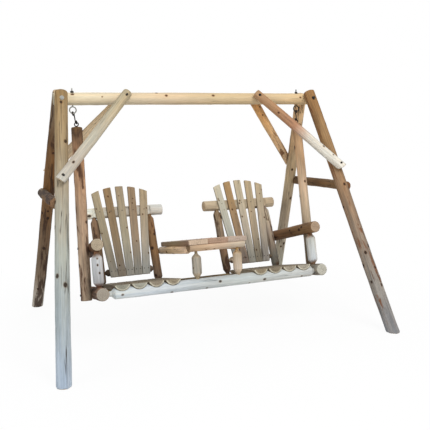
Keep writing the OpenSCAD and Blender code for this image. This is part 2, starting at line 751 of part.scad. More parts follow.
// [radius, height up the leg]
table_leg_profile = [[0, -6], [leg_foot_r, -6], [leg_foot_r, 29], [30, 52], [39, 70],
  [39, 196], [36, 210], [leg_head_r, 232], [leg_head_r, 268], [0, 268]];
module table_leg(side) { table_leg_axis(side) turned(table_leg_profile); }
module table_leg_left() { color([0.74, 0.72, 0.66]) bench() table_leg(-1); }
module table_leg_right() { color([0.85, 0.74, 0.58]) bench() table_leg(1); }

module wood_screws() {
  color([0.25, 0.24, 0.23]) bench() {
    for (side = [-1, 1]) slat_screws(side) screw(slat_screw_l);
    seat_screws() screw(seat_screw_l);
    table_screws() screw(table_screw_l);
  }
}

leg_front_left();
leg_front_right();
leg_rear_left();
leg_rear_right();
header_beam();
cross_rail_left();
cross_rail_right();
knee_brace_front_left();
knee_brace_front_right();
knee_brace_rear_left();
knee_brace_rear_right();
header_bolts();
cross_rail_bolts();
knee_brace_bolts();
eye_bolts();
eye_bolt_nuts();
s_hook_left();
s_hook_right();
hanger_post_left();
hanger_post_right();
hanger_eyes();
bench_frame_bolts();
side_rail_left();
side_rail_right();
armrest_left();
armrest_right();
arm_post_left();
arm_post_right();
front_rail();
rear_rail();
back_post_left_outer();
back_post_left_inner();
back_post_right_inner();
back_post_right_outer();
upper_back_rail_left();
upper_back_rail_right();
lower_back_rail_left();
lower_back_rail_right();
back_slat_left_1();
back_slat_left_2();
back_slat_left_3();
back_slat_left_4();
back_slat_left_5();
back_slat_right_1();
back_slat_right_2();
back_slat_right_3();
back_slat_right_4();
back_slat_right_5();
seat_slats_left();
seat_slats_right();
table_board_left();
table_board_middle();
table_board_right();
table_front_apron();
table_side_rail_left();
table_side_rail_right();
table_rear_batten();
table_leg_left();
table_leg_right();
wood_screws();
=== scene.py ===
"""Log-built hanging bench: left and right seats with a table between, in a four-legged frame.

Metres, +Z up, standing on z = 0. The width runs along X and the front faces -Y.
Each wooden CAD solid is remeshed into a peeled pole, half log or board; the hardware keeps
its CAD mesh and gets a steel finish.
"""
import itertools
import json
import math

import bmesh
import bpy
import numpy as np
from mathutils import Matrix, Vector


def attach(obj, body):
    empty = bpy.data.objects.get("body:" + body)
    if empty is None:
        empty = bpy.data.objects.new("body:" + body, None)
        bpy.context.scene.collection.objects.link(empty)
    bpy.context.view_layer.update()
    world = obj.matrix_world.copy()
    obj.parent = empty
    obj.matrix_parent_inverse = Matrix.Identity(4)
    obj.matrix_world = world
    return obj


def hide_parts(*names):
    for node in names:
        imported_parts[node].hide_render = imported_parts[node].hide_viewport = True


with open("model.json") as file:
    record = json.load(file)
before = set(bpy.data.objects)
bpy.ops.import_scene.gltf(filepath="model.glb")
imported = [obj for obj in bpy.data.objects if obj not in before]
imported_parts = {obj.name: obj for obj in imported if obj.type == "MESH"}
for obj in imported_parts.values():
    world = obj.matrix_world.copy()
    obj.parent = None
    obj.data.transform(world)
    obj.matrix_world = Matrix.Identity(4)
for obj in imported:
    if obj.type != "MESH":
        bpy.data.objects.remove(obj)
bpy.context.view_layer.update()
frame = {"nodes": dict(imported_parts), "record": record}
BODY = {n: b for b, ns in frame["record"]["behaviour"]["bodies"].items() for n in ns}
scene = bpy.context.scene

TAU = 2 * math.pi
WELD_DISTANCE = 2e-5
# Alternating signs smooth away the voxel steps without shrinking the piece.
SMOOTHING = (0.5, -0.52, 0.5, -0.52, 0.5, -0.52, 0.35)
END_FACING = 0.72             # how far a normal must point along the piece to be a sawn end
END_ZONE = 0.02               # depth of the zone at each tip that counts as the end
FACET_DEPTH = 0.5             # share of a true polygon's flatness in the peeled flats
BEND = {"log": 0.0030, "leg": 0.0060, "half": 0.0, "board": 0.0008}
SMALL_LOG_BEND = 0.0015
SMALL_LOGS = ("arm_post", "table_", "front_rail", "rear_rail")


# ------------------------------------------------------------------ noise
def value_noise(places, seed):
    """Smooth value noise in [-1, 1] at the rows of places, the same on every run."""
    cell = np.floor(places).astype(np.int64)
    inside = places - cell
    ease = inside * inside * inside * (inside * (inside * 6 - 15) + 10)
    total = np.zeros(len(places))
    for dx, dy, dz in itertools.product((0, 1), repeat=3):
        mixed = ((cell[:, 0] + dx) * 73856093 ^ (cell[:, 1] + dy) * 19349663
                 ^ (cell[:, 2] + dz) * 83492791 ^ (seed * 2654435761 + 97))
        mixed = (mixed ^ (mixed >> 13)) * 1274126177 & 0xFFFFFFFF
        mixed = (mixed ^ (mixed >> 16)) * 668265263 & 0xFFFFFFFF
        value = (mixed & 0xFFFF) / 32767.5 - 1.0
        weight_x, weight_y, weight_z = (
            ease[:, axis] if far else 1 - ease[:, axis]
            for axis, far in enumerate((dx, dy, dz)))
        total += value * (weight_x * weight_y * weight_z)
    return total


def layered_noise(places, seed, octaves=3):
    total, gain, gain_sum = np.zeros(len(places)), 1.0, 0.0
    for octave in range(octaves):
        total += gain * value_noise(places * (2.03 ** octave), seed + 31 * octave)
        gain_sum += gain
        gain *= 0.5
    return total / gain_sum


# ------------------------------------------------------------------ CAD solids
def cad_parts(name):
    """The closed solids of a CAD node, each as (points, triangles)."""
    bm = bmesh.new()
    bm.from_mesh(frame["nodes"][name].data)
    bmesh.ops.remove_doubles(bm, verts=bm.verts, dist=WELD_DISTANCE)
    bmesh.ops.triangulate(bm, faces=bm.faces)
    bm.verts.ensure_lookup_table()
    seen, parts = set(), []
    for first in bm.verts:
        if first.index in seen:
            continue
        stack, group = [first], []
        seen.add(first.index)
        while stack:
            vert = stack.pop()
            group.append(vert.index)
            for edge in vert.link_edges:
                other = edge.other_vert(vert)
                if other.index not in seen:
                    seen.add(other.index)
                    stack.append(other)
        local_index = {index: k for k, index in enumerate(group)}
        points = np.array([bm.verts[index].co[:] for index in group])
        faces = {f for index in group for f in bm.verts[index].link_faces}
        triangles = np.array([[local_index[v.index] for v in f.verts]
                              for f in sorted(faces, key=lambda f: f.index)])
        parts.append((points, triangles))
    bm.free()
    parts.sort(key=lambda part: (round(float(part[0][:, 0].mean()), 3),
                                 round(float(part[0][:, 1].mean()), 3)))
    return parts


def main_normal(normals, areas):
    """Unit normal of the direction, either sign, that covers the most area."""
    groups = {}
    for normal, area in zip(normals, areas):
        facing = normal if normal[np.argmax(np.abs(normal))] > 0 else -normal
        group = groups.setdefault(tuple(np.round(facing, 2)), [0.0, np.zeros(3)])
        group[0] += area
        group[1] += facing * area
    best = max(groups.values(), key=lambda group: group[0])[1]
    return best / np.linalg.norm(best)


def local_frame(kind, points, triangles):
    """Axes of a piece as rows, length last, and its centre.

    The first axis is the face normal of a board or half log, and the front of a pole.
    """
    a, b, c = (points[triangles[:, corner]] for corner in range(3))
    normals = np.cross(b - a, c - a)
    areas = np.linalg.norm(normals, axis=1)
    solid = areas > 1e-10
    normals, areas = normals[solid] / areas[solid, None], areas[solid]
    middles = ((a + b + c) / 3)[solid]
    spread = middles - (middles * areas[:, None]).sum(0) / areas.sum()
    along = np.linalg.eigh((spread * areas[:, None]).T @ spread)[1][:, -1]

    if kind in ("board", "half"):
        face = main_normal(normals, areas)
        if kind == "board":
            square = np.abs(normals @ face) < 0.05
            edge = main_normal(normals[square], areas[square])
            crossed = np.cross(face, edge)
            along = edge if abs(crossed @ along) < 0.8 else crossed
        along = along - face * (along @ face)
        along /= np.linalg.norm(along)
    else:
        front = np.array([0.0, -1.0, 0.0] if abs(along[1]) < 0.9 else [0.0, 0.0, 1.0])
        face = front - along * (front @ along)
        face /= np.linalg.norm(face)
    if along[np.argmax(np.abs(along))] < 0:
        along = -along
    axes = np.array([face, np.cross(along, face), along])
    turned = points @ axes.T
    return axes, ((turned.min(0) + turned.max(0)) / 2) @ axes


# ------------------------------------------------------------------ remeshing
def voxel_remesh(points, triangles, size):
    """Points, edges and quad corners of the solid rebuilt on a voxel grid."""
    mesh = bpy.data.meshes.new("tmp")
    mesh.from_pydata(points.tolist(), [], triangles.tolist())
    obj = bpy.data.objects.new("tmp", mesh)
    scene.collection.objects.link(obj)
    remesh = obj.modifiers.new("r", "REMESH")
    remesh.mode = "VOXEL"
    remesh.voxel_size = size
    remesh.adaptivity = 0.0
    evaluated = obj.evaluated_get(bpy.context.evaluated_depsgraph_get())
    result = evaluated.to_mesh()
    new_points = np.empty(len(result.vertices) * 3)
    result.vertices.foreach_get("co", new_points)
    edges = np.empty(len(result.edges) * 2, np.int64)
    result.edges.foreach_get("vertices", edges)
    corners = np.empty(len(result.loops), np.int64)
    result.loops.foreach_get("vertex_index", corners)
    evaluated.to_mesh_clear()
    bpy.data.objects.remove(obj)
    bpy.data.meshes.remove(mesh)
    return new_points.reshape(-1, 3), edges.reshape(-1, 2), corners.reshape(-1, 4)


def smooth(points, edges, amount):
    """Move each point by amount of the way to the mean of its neighbours."""
    count = len(points)
    neighbours = np.bincount(edges.ravel(), minlength=count).astype(float)
    sums = np.zeros_like(points)
    for axis in range(3):
        sums[:, axis] = (np.bincount(edges[:, 0], points[edges[:, 1], axis], count)
                         + np.bincount(edges[:, 1], points[edges[:, 0], axis], count))
    return points + amount * (sums / np.maximum(neighbours, 1)[:, None] - points)


def point_normals(points, quads):
    diagonals = (points[quads[:, 2]] - points[quads[:, 0]],
                 points[quads[:, 3]] - points[quads[:, 1]])
    face_normals = np.cross(*diagonals)
    normals = np.zeros_like(points)
    for corner in range(4):
        for axis in range(3):
            normals[:, axis] += np.bincount(quads[:, corner], face_normals[:, axis], len(points))
    return normals / np.maximum(np.linalg.norm(normals, axis=1), 1e-12)[:, None]


# ------------------------------------------------------------------ natural surface
def pole_relief(points, angle, radius, side, seed, relief, rng):
    """Lumps, and hand-peeled flats that wander round the pole."""
    cos, sin, z = np.cos(angle), np.sin(angle), points[:, 2]
    broad = np.stack([cos * 1.6, sin * 1.6, z * 5.0], 1)
    lift = 0.0016 * relief * layered_noise(broad, seed, 3)
    fine = np.stack([cos * 4.5, sin * 4.5, z * 16.0], 1)
    lift += 0.0007 * relief * layered_noise(fine, seed + 5, 2)
    flats = int(round(9 + rng.random() * 4))
    wander = 0.5 * value_noise(np.stack([cos, sin, z * 2.2], 1), seed + 9) + rng.random() * 6.28
    phase = np.mod(angle + wander, TAU / flats) - math.pi / flats
    inner = math.cos(math.pi / flats)
    lift += FACET_DEPTH * radius * (inner / np.cos(phase) - 0.5 * (1 + inner))
    return lift * side


def half_log_relief(points, normals, side, seed):
    """Slight waves on the flat face and deeper ones on the round side."""
    depth = np.where(np.abs(normals[:, 0]) > 0.85, 0.0003, 0.0014)
    return depth * layered_noise(points * (20, 20, 6.0), seed, 3) * side


def board_relief(points, normals, seed):
    """Gentle waves, and weathered ridges along the two faces."""
    lift = 0.0005 * layered_noise(points * (6, 12, 4.0), seed, 3)
    ridges = value_noise(points * (0, 110, 2.5), seed + 3)
    return lift + 0.00025 * ridges * (np.abs(normals[:, 0]) > 0.8)


def add_pole_knots(lift, points, angle, radius, side, knots, relief):
    """Swell the pole round each knot and sink its heart; returns the knot mask and lift."""
    mask = np.zeros(len(points))
    for knot_z, knot_angle, size in knots:
        around = radius * (np.mod(angle - knot_angle + math.pi, TAU) - math.pi)
        distance = np.hypot((points[:, 2] - knot_z) / 1.35, around) / size
        mask = np.maximum(mask, np.exp(-distance ** 4 * 0.8) * side)
        heart = np.exp(-distance ** 2 * 1.1) * side
        swell = np.exp(-(distance / 1.9) ** 2)
        lift = lift + (0.0022 * relief * swell * side - 0.0012 * relief * heart)
    return mask, lift


def flat_knots(points, knots):
    """Knot mask of a board or half log; a knot's angle sets its place across the width."""
    mask = np.zeros(len(points))
    width = points[:, 1].max() - points[:, 1].min()
    for knot_z, knot_angle, size in knots:
        knot_y = (knot_angle / TAU - 0.5) * width * 0.8
        distance = np.hypot((points[:, 2] - knot_z) / 1.3, points[:, 1] - knot_y) / size
        mask = np.maximum(mask, np.exp(-distance ** 4 * 0.8))
    return mask


def sapwood_rim(points, normals, side, end, tips):
    """Mask of the rim that follows the round side on a half log's ends."""
    mask = np.zeros(len(points))
    curved = (side > 0.5) & (normals[:, 0] < 0.5)
    for tip, direction in zip(tips, (-1, 1)):
        cut = end & (normals[:, 2] * direction > 0.5)
        outline = curved & (np.abs(points[:, 2] - tip) < END_ZONE)
        if cut.any() and outline.any():
            inward = np.hypot(points[cut][:, None, 0] - points[outline][None, :, 0],
                              points[cut][:, None, 1] - points[outline][None, :, 1]).min(1)
            mask[cut] = np.clip((0.014 - inward) / 0.007, 0, 1)
    return mask


def build_mesh(name, points, quads, attributes):
    mesh = bpy.data.meshes.new(name)
    mesh.vertices.add(len(points))
    mesh.vertices.foreach_set("co", points.astype(np.float32).ravel())
    mesh.loops.add(quads.size)
    mesh.loops.foreach_set("vertex_index", quads.astype(np.int32).ravel())
    mesh.polygons.add(len(quads))
    mesh.polygons.foreach_set("loop_start", np.arange(0, quads.size, 4, dtype=np.int32))
    mesh.polygons.foreach_set("use_smooth", np.ones(len(quads), bool))
    mesh.update(calc_edges=True)
    mesh.validate()
    for label, data in attributes.items():
        kind, field = ("FLOAT", "value") if data.ndim == 1 else ("FLOAT_VECTOR", "vector")
        attribute = mesh.attributes.new(label, kind, "POINT")
        attribute.data.foreach_set(field, data.astype(np.float32).ravel())
    return mesh


def carve(name, node, part, kind, voxel, seed, material, bend, knots=5,
          knot_size=(0.009, 0.016), placed_knots=(), relief=1.0, taper=0.0):
    """Peeled-wood version of one CAD solid: same joints and cuts, natural surface.

    knots counts the random ones; placed_knots holds (share of length, degrees, size).
    """
    cad_points, triangles = part
    axes, centre = local_frame(kind, cad_points, triangles)
    points, edges, quads = voxel_remesh((cad_points - centre) @ axes.T, triangles, voxel)
    for amount in SMOOTHING:
        points = smooth(points, edges, amount)
    normals = point_normals(points, quads)
    low, high = points[:, 2].min(), points[:, 2].max()
    length = high - low
    rng = np.random.default_rng(seed)
    end = np.abs(normals[:, 2]) > END_FACING
    if kind != "leg":
        end &= (points[:, 2] < low + END_ZONE) | (points[:, 2] > high - END_ZONE)
    side = 1.0 - np.clip(np.abs(normals[:, 2]) * 1.3, 0, 1)

    is_pole = kind in ("log", "leg")
    if is_pole:
        distance = np.hypot(points[:, 0], points[:, 1])
        angle = np.arctan2(points[:, 1], points[:, 0])
        radius = np.median(distance[side > 0.5])
        lift = pole_relief(points, angle, radius, side, seed, relief, rng)
    elif kind == "half":
        lift = half_log_relief(points, normals, side, seed)
    else:
        lift = board_relief(points, normals, seed)

    all_knots = [(low + share * length, math.radians(degrees), size)
                 for share, degrees, size in placed_knots]
    for _ in range(knots):
        all_knots.append((low + (0.05 + 0.9 * rng.random()) * length,
                          rng.random() * TAU, rng.uniform(*knot_size)))
    if is_pole:
        knot, lift = add_pole_knots(lift, points, angle, radius, side, all_knots, relief)
    else:
        knot = flat_knots(points, all_knots)

    rim = painted_slat_edge_shade = np.zeros(len(points))
    if kind == "half":
        rim = sapwood_rim(points, normals, side, end, (low, high))
    # Painted shade: the narrow edges of a back slat are marked here to be darkened in the
    # shader.
    if node.startswith("back_slat"):
        painted_slat_edge_shade = np.clip((np.abs(normals[:, 1]) - 0.3) / 0.4, 0, 1)

    shaped = points + normals * lift[:, None]
    station = (shaped[:, 2] - low) / length
    if bend:
        turn = rng.random() * TAU
        bow = bend * np.sin(math.pi * station)
        sway = 0.35 * bend * np.sin(TAU * station)
        shaped[:, 0] += bow * math.cos(turn) - sway * math.sin(turn)
        shaped[:, 1] += bow * math.sin(turn) + sway * math.cos(turn)
    if taper:
        shaped[:, :2] *= (1 + taper * (0.5 - station))[:, None]
    placed = shaped @ axes + centre
    placed[:, 2] = np.maximum(placed[:, 2], 0.0)

    mesh = build_mesh(name, placed, quads, {
        "lc": points,                    # place in the piece's own axes
        "wp": placed,                    # place in the scene
        "kn": knot,
        "en": end.astype(float),         # sawn end
        "up": (normals @ axes)[:, 2],    # how far the surface faces up
        "st": station,                   # 0 to 1 along the piece
        "rm": rim,                       # sapwood rim of a half log's end
        "ed": painted_slat_edge_shade,                 # painted shade on the narrow edges of a back slat
    })
    mesh.materials.append(material)
    obj = bpy.data.objects.new(name, mesh)
    scene.collection.objects.link(obj)
    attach(obj, BODY[node])
    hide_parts(node)


# ------------------------------------------------------------------ node trees
def srgb(red, green, blue):
    """Linear RGBA of an sRGB colour given from 0 to 255."""
    shares = [channel / 255.0 for channel in (red, green, blue)]
    return tuple(c / 12.92 if c <= 0.04045 else ((c + 0.055) / 1.055) ** 2.4
                 for c in shares) + (1.0,)


class Graph:
    """Writes nodes into a tree; a value may be a number, a tuple or another node's socket."""

    def __init__(self, tree):
        self.tree = tree

    def node(self, kind, **settings):
        node = self.tree.nodes.new(kind)
        for key, value in settings.items():
            setattr(node, key, value)
        return node

    def put(self, socket, value):
        if isinstance(value, bpy.types.NodeSocket):
            self.tree.links.new(value, socket)
        else:
            socket.default_value = value

    def fill(self, node, values):
        """Set inputs from a dict of input name or index to value."""
        for key, value in values.items():
            self.put(node.inputs[key], value)
        return node

    def math(self, operation, a, b=0.0):
        node = self.node("ShaderNodeMath", operation=operation)
        return self.fill(node, {0: a, 1: b, 2: 0.0}).outputs[0]

    def add(self, a, b):
        return self.math("ADD", a, b)

    def sub(self, a, b):
        return self.math("SUBTRACT", a, b)

    def mul(self, a, b):
        return self.math("MULTIPLY", a, b)

    def swing(self, value, gain):
        """A 0 to 1 value centred on zero and scaled."""
        return self.mul(self.sub(value, 0.5), gain)

    def seam(self, value):
        """Distance of a 0 to 1 value from its middle."""
        return self.math("ABSOLUTE", self.sub(value, 0.5))

    def vector(self, operation, a, b):
        node = self.node("ShaderNodeVectorMath", operation=operation)
        return self.fill(node, {0: a, 1: b}).outputs[0]

    def combine(self, x, y, z):
        return self.fill(self.node("ShaderNodeCombineXYZ"), {0: x, 1: y, 2: z}).outputs[0]

    def noise(self, place, scale, detail, roughness, distortion=0.0, offset=None):
        scaled = self.vector("MULTIPLY", place, scale)
        if offset:
            scaled = self.vector("ADD", scaled, offset)
        return self.fill(self.node("ShaderNodeTexNoise", noise_dimensions="3D"), {
            "Vector": scaled, "Scale": 1.0, "Detail": detail, "Roughness": roughness,
            "Distortion": distortion}).outputs["Fac"]

    def step(self, value, low, high, start=0.0, stop=1.0, curve="SMOOTHSTEP"):
        """Map low..high to start..stop, held flat outside."""
        node = self.node("ShaderNodeMapRange", interpolation_type=curve, clamp=True)
        return self.fill(node, {"Value": value, "From Min": low, "From Max": high,
                                "To Min": start, "To Max": stop}).outputs["Result"]

    def mix(self, factor, a, b, mode="MIX"):
        """Blend two colours; inputs 6 and 7 are the colour pair of the mix node."""
        node = self.node("ShaderNodeMix", data_type="RGBA", blend_type=mode)
        return self.fill(node, {"Factor": factor, 6: a, 7: b}).outputs[2]

    def tint(self, a, b):
        return self.mix(1.0, a, b, "MULTIPLY")

    def shade(self, colour, value):
        grey = self.fill(self.node("ShaderNodeCombineColor"), {0: value, 1: value, 2: value})
        return self.tint(colour, grey.outputs[0])

    def attribute(self, name, output="Fac"):
        node = self.node("ShaderNodeAttribute", attribute_type="GEOMETRY", attribute_name=name)
        return node.outputs[output]

    def surface(self, colour, roughness, height, bump_strength, bump_distance, **others):
        """Principled shader with a bump; others are further inputs by name."""
        bump = self.fill(self.node("ShaderNodeBump"), {
            "Strength": bump_strength, "Distance": bump_distance, "Height": height})
        return self.fill(self.node("ShaderNodeBsdfPrincipled"), {
            "Base Color": colour, "Roughness": roughness, "Normal": bump.outputs[0],
            **others}).outputs[0]

    def mix_shader(self, factor, a, b):
        return self.fill(self.node("ShaderNodeMixShader"), {0: factor, 1: a, 2: b}).outputs[0]

    def camera_ray(self):
        return self.node("ShaderNodeLightPath").outputs["Is Camera Ray"]

    def output(self, kind, shader):
        self.fill(self.node(kind), {0: shader})


def empty_graph(owner):
    owner.use_nodes = True
    owner.node_tree.nodes.clear()
    return Graph(owner.node_tree)


# ------------------------------------------------------------------ wood
WOOD_INPUTS = (
    ("Base", (0.6, 0.5, 0.4, 1)),
    ("Patch", (0.2, 0.1, 0.05, 1)),
    ("Patch Amount", 0.3),
    ("Weather", (0.6, 0.6, 0.6, 1)),
    ("Weather Amount", 0.0),
    ("End", (0.6, 0.5, 0.4, 1)),
    ("Knot", (0.05, 0.02, 0.01, 1)),
    ("Rim", (0.6, 0.55, 0.45, 1)),
    ("Rim Amount", 0.0),
    ("Crack", 0.5),
    ("Contrast", 1.0),
    ("Seed", 0.0),
    ("Roughness", 0.8),
)
# Multiplied over the wood colour
WARM_TINT = (1.10, 0.92, 0.74, 1)
KNOT_HALO_TINT = (0.62, 0.40, 0.24, 1)
# Painted shade for the narrow edges of the back slats
SLAT_EDGE_SHADE_TINT = (0.46, 0.40, 0.34, 1)
# Linear colours of dark lines
CRACK_COLOUR = (0.035, 0.022, 0.014, 1)
END_CHECK_COLOUR = (0.06, 0.035, 0.02, 1)
# Painted shade along the edge of a sawn end
END_EDGE_SHADE_COLOUR = (0.10, 0.065, 0.04, 1)
SPECULAR = "Specular IOR Level"


def wood_group():
    """Shared node group: grain, bark remnants, cracks, knots and sawn ends."""
    tree = bpy.data.node_groups.new("peeled_wood", "ShaderNodeTree")
    for name, default in WOOD_INPUTS:
        kind = "NodeSocketColor" if isinstance(default, tuple) else "NodeSocketFloat"
        socket = tree.interface.new_socket(name, in_out="INPUT", socket_type=kind)
        socket.default_value = default
    tree.interface.new_socket("BSDF", in_out="OUTPUT", socket_type="NodeSocketShader")
    g = Graph(tree)
    given = g.node("NodeGroupInput").outputs
    seed = given["Seed"]

    local = g.attribute("lc", "Vector")
    knot, end, up = (g.attribute(name) for name in ("kn", "en", "up"))
    offset = g.combine(g.mul(seed, 1.37), g.mul(seed, 0.73), g.mul(seed, 2.11))
    place = g.vector("ADD", local, offset)
    x, y, _ = g.fill(g.node("ShaderNodeSeparateXYZ"), {0: local}).outputs

    # Noises drawn out along the piece; fine is even in all directions.
    grain = g.noise(place, (95, 95, 3.2), detail=5, roughness=0.62)
    fibre = g.noise(place, (420, 420, 16), detail=3, roughness=0.6)
    streak = g.noise(place, (34, 34, 1.1), detail=4, roughness=0.6, distortion=0.4)
    broad = g.noise(place, (11, 11, 3.0), detail=3, roughness=0.55, distortion=0.3)
    fine = g.noise(place, (60, 60, 60), detail=4, roughness=0.65)

    # Remnants of inner bark: long feathered islands.
    islands = g.noise(place, (17, 17, 3.6), detail=5, roughness=0.62, distortion=0.6)
    islands = g.add(islands, g.swing(grain, 0.35))
    shore = g.sub(0.78, g.mul(given["Patch Amount"], 0.56))
    bark = g.step(islands, g.sub(shore, 0.05), g.add(shore, 0.05))

    # Drying cracks run along the grain, in some areas only.
    line = g.seam(g.noise(place, (30, 30, 0.75), detail=2.5, roughness=0.5, distortion=0.25))
    areas = g.noise(place, (13, 13, 2.2), detail=2, roughness=0.5)
    area_edges = [g.sub(limit, g.mul(given["Crack"], 0.32)) for limit in (0.72, 0.80)]
    cracked = g.step(areas, *area_edges)
    crack = g.mul(g.step(line, 0.003, 0.013, start=1.0, stop=0.0), cracked)

    # Light and dark of the grain.
    variation = g.add(g.swing(grain, 0.95), g.add(
        g.swing(fibre, 0.55), g.add(g.swing(streak, 0.60), g.swing(broad, 0.50))))
    value = g.add(1.0, g.mul(given["Contrast"], variation))
    colour = g.shade(given["Base"], value)
    warm = g.step(streak, 0.35, 0.68)
    colour = g.mix(g.mul(warm, 0.35), colour, g.tint(colour, WARM_TINT))

    # Weathering gathers on surfaces that face up.
    exposed = g.step(g.add(up, g.swing(broad, 1.2)), -0.3, 0.7)
    weathered = g.mul(exposed, given["Weather Amount"])
    colour = g.mix(weathered, colour, g.shade(given["Weather"], value))
    bark_colour = g.shade(given["Patch"], g.add(0.55, g.mul(fine, 0.9)))
    colour = g.mix(g.mul(bark, 0.88), colour, bark_colour)
    colour = g.mix(g.mul(crack, 0.85), colour, CRACK_COLOUR)

    # Knots: dark heart, red-brown halo.
    halo = g.step(knot, 0.02, 0.55)
    heart = g.step(g.add(knot, g.swing(fine, 0.4)), 0.42, 0.82)
    colour = g.mix(g.mul(halo, 0.55), colour, g.tint(colour, KNOT_HALO_TINT))
    colour = g.mix(g.mul(heart, 0.9), colour, given["Knot"])

    # Sawn ends: fine and coarse growth rings, and cracks that run out from the centre.
    wobble = g.noise(place, (28, 28, 0), detail=2, roughness=0.5)
    radius = g.math("SQRT", g.add(g.mul(x, x), g.mul(y, y)))
    ring_radius = g.add(radius, g.mul(wobble, 0.010))
    fine_ring, coarse_ring = (
        g.add(0.5, g.mul(g.math("SINE", g.mul(ring_radius, frequency)), 0.5))
        for frequency in (1250.0, 430.0))
    inverse = g.math("DIVIDE", 1.0, g.math("MAXIMUM", radius, 0.002))
    direction = g.combine(g.mul(x, inverse), g.mul(y, inverse), seed)
    ray = g.seam(g.noise(direction, (3.2, 3.2, 1), detail=2, roughness=0.5))
    check = g.mul(g.step(ray, 0.004, 0.018, start=1.0, stop=0.0),
                  g.step(radius, 0.004, 0.040, start=1.0, stop=0.2))
    end_value = g.add(0.74, g.add(g.mul(fine_ring, 0.16), g.mul(coarse_ring, 0.20)))
    end_value = g.mul(end_value, g.add(0.82, g.mul(fine, 0.4)))
    end_colour = g.shade(given["End"], end_value)
    end_colour = g.mix(g.mul(check, 0.8), end_colour, END_CHECK_COLOUR)
    rim = g.mul(g.attribute("rm"), given["Rim Amount"])
    end_colour = g.mix(rim, end_colour, given["Rim"])

    # Painted shade: darkens the narrow edges of the back slats.
    painted_slat_edge_shade = g.mul(g.attribute("ed"), 0.6)
    colour = g.mix(painted_slat_edge_shade, colour, g.tint(colour, SLAT_EDGE_SHADE_TINT))
    end_mask = g.step(end, 0.35, 0.75)
    colour = g.mix(end_mask, colour, end_colour)
    # Painted shade: a dark line where a sawn end turns into the side of the piece.
    outline = g.mul(g.step(end, 0.05, 0.4), g.step(end, 0.45, 0.9, start=1.0, stop=0.0))
    colour = g.mix(g.mul(outline, 0.35), colour, END_EDGE_SHADE_COLOUR)

    # Bump: raised grain and bark, sunken cracks and knot hearts; rings on the ends.
    height = g.add(g.mul(grain, 0.55), g.mul(fibre, 0.30))
    height = g.add(height, g.mul(bark, 0.35))
    height = g.sub(height, g.mul(crack, 1.4))
    height = g.sub(height, g.mul(heart, 0.5))
    end_height = g.sub(g.mul(fine_ring, 0.25), g.mul(check, 1.2))
    height_mix = g.fill(g.node("ShaderNodeMix", data_type="FLOAT"),
                        {0: end_mask, 2: height, 3: end_height})
    roughness = g.add(given["Roughness"], g.swing(fibre, 0.25))
    shader = g.surface(colour, roughness, height_mix.outputs[0], bump_strength=0.55,
                       bump_distance=0.0022, **{SPECULAR: 0.28})
    g.output("NodeGroupOutput", shader)
    return tree


WOOD = wood_group()
wood_numbers = itertools.count(4)     # each wood's number shifts its textures


def wood(name, stops, bark=(70, 45, 28), bark_share=0.3, weather=(178, 178, 174),
         weather_share=0.0, end=(190, 165, 132), knot=(38, 24, 16), crack=0.5, contrast=1.0,
         rim=None):
    """Wood material; stops are (place along the piece from 0 to 1, sRGB colour)."""
    material = bpy.data.materials.new(name)
    g = empty_graph(material)
    number = next(wood_numbers)
    station = g.attribute("st")
    wobble = g.noise(g.attribute("lc", "Vector"), (16, 16, 5), detail=3, roughness=0.6,
                     offset=(number * 1.7, 0.3, number * 0.9))
    ramp = g.node("ShaderNodeValToRGB")
    g.put(ramp.inputs[0], g.add(station, g.swing(wobble, 0.22)))
    elements = ramp.color_ramp.elements
    while len(elements) > 1:
        elements.remove(elements[-1])
    elements[0].position = stops[0][0]
    elements[0].color = srgb(*stops[0][1])
    for position, tone in stops[1:]:
        elements.new(position).color = srgb(*tone)
    group = g.fill(g.node("ShaderNodeGroup", node_tree=WOOD), {
        "Base": ramp.outputs[0],
        "Patch": srgb(*bark),
        "Patch Amount": bark_share,
        "Weather": srgb(*weather),
        "Weather Amount": weather_share,
        "End": srgb(*end),
        "Knot": srgb(*knot),
        "Crack": crack,
        "Contrast": contrast,
        "Seed": number * 1.618,
        "Roughness": 0.82,
    })
    if rim:
        g.fill(group, {"Rim": srgb(*rim), "Rim Amount": 0.85})
    g.output("ShaderNodeOutputMaterial", group.outputs[0])
    return material


# ------------------------------------------------------------------ wooden pieces
def even(*tones):
    """Colour stops spaced evenly from the low end to the high end."""
    return [(k / (len(tones) - 1), tone) for k, tone in enumerate(tones)]


